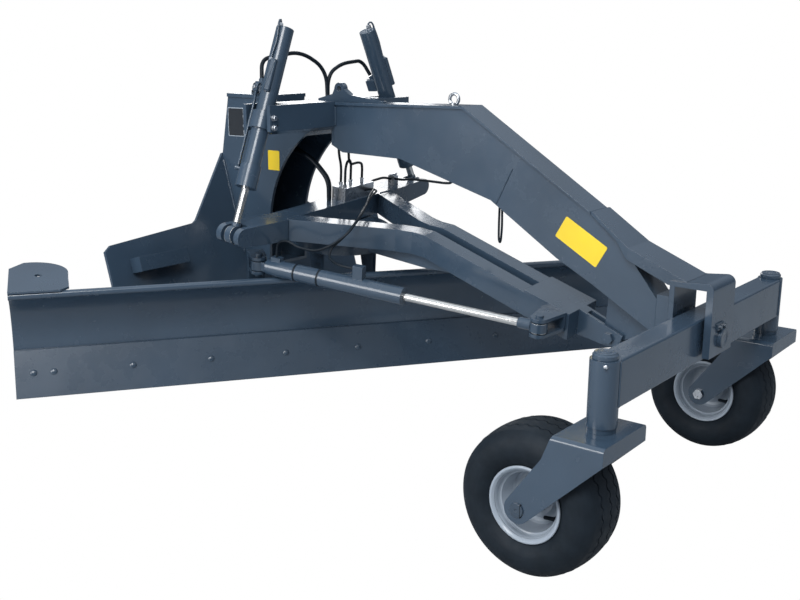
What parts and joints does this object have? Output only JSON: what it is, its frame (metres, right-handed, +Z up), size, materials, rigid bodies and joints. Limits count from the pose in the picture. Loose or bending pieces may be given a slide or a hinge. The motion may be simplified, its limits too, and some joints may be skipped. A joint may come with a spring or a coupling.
{
  "type": "loader-mounted grader blade attachment",
  "caption": "Towed-ahead grader attachment for a wheel loader: gooseneck beam, castered front axle, Y drawbar and an angled blade moved by lift and turning cylinders.",
  "frame": {"origin": "centre of the rear face of the leaning seat plate", "axes": "+Z up, +X to the machine's left, +Y to its rear, towards the loader; the casters lead at -Y"},
  "size_m": [2.1391, 2.3156, 1.556],
  "materials": {
    "paint": "gloss blue-grey paint",
    "rim_paint": "silver-grey paint",
    "tyre": "black rubber",
    "chrome_rod": "hard chrome",
    "bright_steel": "zinc-plated steel",
    "edge_steel": "painted wear steel",
    "hose_rubber": "black hose rubber",
    "sign": "yellow blank sign",
    "nameplate": "blank tin plate"
  },
  "bodies": {
    "frame": {"coupling_plate": "paint", "seat_plate": "paint", "wing_shelf": "paint", "pylon": "paint", "gooseneck": "paint", "beam_hoses": "hose_rubber", "beam_cover": "paint", "saddle": "paint", "eye_bolt": "bright_steel", "lift_bracket_l": "paint", "lift_bracket_r": "paint", "nose_strap": "paint", "pivot_bracket": "paint", "pivot_pin": "bright_steel", "hinge_hanger": "paint"},
    "axle": {"axle_beam": "paint"},
    "drawbar": {"drawbar_crossbar": "paint", "drawbar_arm_l": "paint", "drawbar_arm_r": "paint", "drawbar_nose": "paint", "drawbar_belly": "paint", "hinge_bolt": "bright_steel", "swing_anchor": "paint", "turning_pin": "paint", "valve_block": "bright_steel", "valve_tap": "bright_steel", "drawbar_hoses": "hose_rubber"},
    "blade": {"blade_carrier": "paint", "swing_lug": "paint", "mouldboard": "paint", "cutting_edge": "edge_steel", "mast_plate": "paint"},
    "swing_cylinder": {"swing_barrel": "paint"},
    "swing_piston": {"swing_rod": "chrome_rod"},
    "caster_l": {"caster_fork_l": "paint", "kingpin_l": "paint", "wheel_bolt_l": "bright_steel"},
    "wheel_l": {"rim_l": "rim_paint", "tyre_l": "tyre"},
    "lift_cylinder_l": {"lift_barrel_l": "paint"},
    "lift_piston_l": {"lift_rod_l": "chrome_rod"},
    "caster_r": {"caster_fork_r": "paint", "kingpin_r": "paint", "wheel_bolt_r": "bright_steel"},
    "wheel_r": {"rim_r": "rim_paint", "tyre_r": "tyre"},
    "lift_cylinder_r": {"lift_barrel_r": "paint"},
    "lift_piston_r": {"lift_rod_r": "chrome_rod"}
  },
  "joints": [
    {"name": "axle_oscillation", "type": "hinge", "parent": "frame", "child": "axle", "pos_m": [0, -1.954, -0.024], "axis": [0, 1, 0], "range_deg": [-8, 8]},
    {"name": "caster_swivel_l", "type": "hinge", "parent": "axle", "child": "caster_l", "pos_m": [0.649, -1.954, -0.094], "axis": [0, 0, 1], "continuous": true},
    {"name": "wheel_spin_l", "type": "hinge", "parent": "caster_l", "child": "wheel_l", "pos_m": [0.649, -1.771, -0.4055], "axis": [1, 0, 0], "continuous": true},
    {"name": "caster_swivel_r", "type": "hinge", "parent": "axle", "child": "caster_r", "pos_m": [-0.649, -1.954, -0.094], "axis": [0, 0, 1], "continuous": true},
    {"name": "wheel_spin_r", "type": "hinge", "parent": "caster_r", "child": "wheel_r", "pos_m": [-0.649, -1.771, -0.4055], "axis": [1, 0, 0], "continuous": true},
    {"name": "drawbar_lift", "type": "hinge", "parent": "frame", "child": "drawbar", "pos_m": [0, -1.654, -0.087], "axis": [0.9976, -0.007, 0.0694], "range_deg": [-8, 2]},
    {"name": "lift_barrel_tilt_l", "type": "hinge", "parent": "frame", "child": "lift_cylinder_l", "pos_m": [0.382, -0.406, 0.582], "axis": [-0.608, -0.7939, 0], "range_deg": [-8.64, 2.2]},
    {"name": "lift_rod_slide_l", "type": "slide", "parent": "lift_cylinder_l", "child": "lift_piston_l", "axis": [0.3989, -0.0482, -0.9157], "range_m": [-0.0424, 0.1682]},
    {"name": "lift_barrel_tilt_r", "type": "hinge", "parent": "frame", "child": "lift_cylinder_r", "pos_m": [-0.382, -0.406, 0.582], "axis": [-0.4459, 0.8951, 0], "range_deg": [-9.07, 2.31]},
    {"name": "lift_rod_slide_r", "type": "slide", "parent": "lift_cylinder_r", "child": "lift_piston_r", "axis": [-0.3863, -0.0217, -0.9221], "range_m": [-0.0408, 0.1619]},
    {"name": "blade_turn", "type": "hinge", "parent": "drawbar", "child": "blade", "pos_m": [0, -0.44522, 0.03578], "axis": [-0.0698, -0.1008, 0.9925], "range_deg": [0, 66]},
    {"name": "swing_barrel_turn", "type": "hinge", "parent": "blade", "child": "swing_cylinder", "pos_m": [-0.40694, -0.39686, 0.05441], "axis": [-0.0698, -0.1008, 0.9925], "range_deg": [-75.88, 0.2]},
    {"name": "swing_rod_slide", "type": "slide", "parent": "swing_cylinder", "child": "swing_piston", "axis": [0.1867, -0.9786, -0.0863], "range_m": [-0.4202, 0.001]}
  ],
  "couplings": [
    {"joint": "lift_barrel_tilt_l", "follows": "drawbar_lift", "ratio": 1.0725},
    {"joint": "lift_rod_slide_l", "follows": "drawbar_lift", "m_per_rad": -1.1893},
    {"joint": "lift_barrel_tilt_r", "follows": "drawbar_lift", "ratio": 1.1267},
    {"joint": "lift_rod_slide_r", "follows": "drawbar_lift", "m_per_rad": -1.1443},
    {"joint": "swing_barrel_turn", "follows": "blade_turn", "ratio": -1.1466},
    {"joint": "swing_rod_slide", "follows": "blade_turn", "m_per_rad": -0.36387}
  ]
}
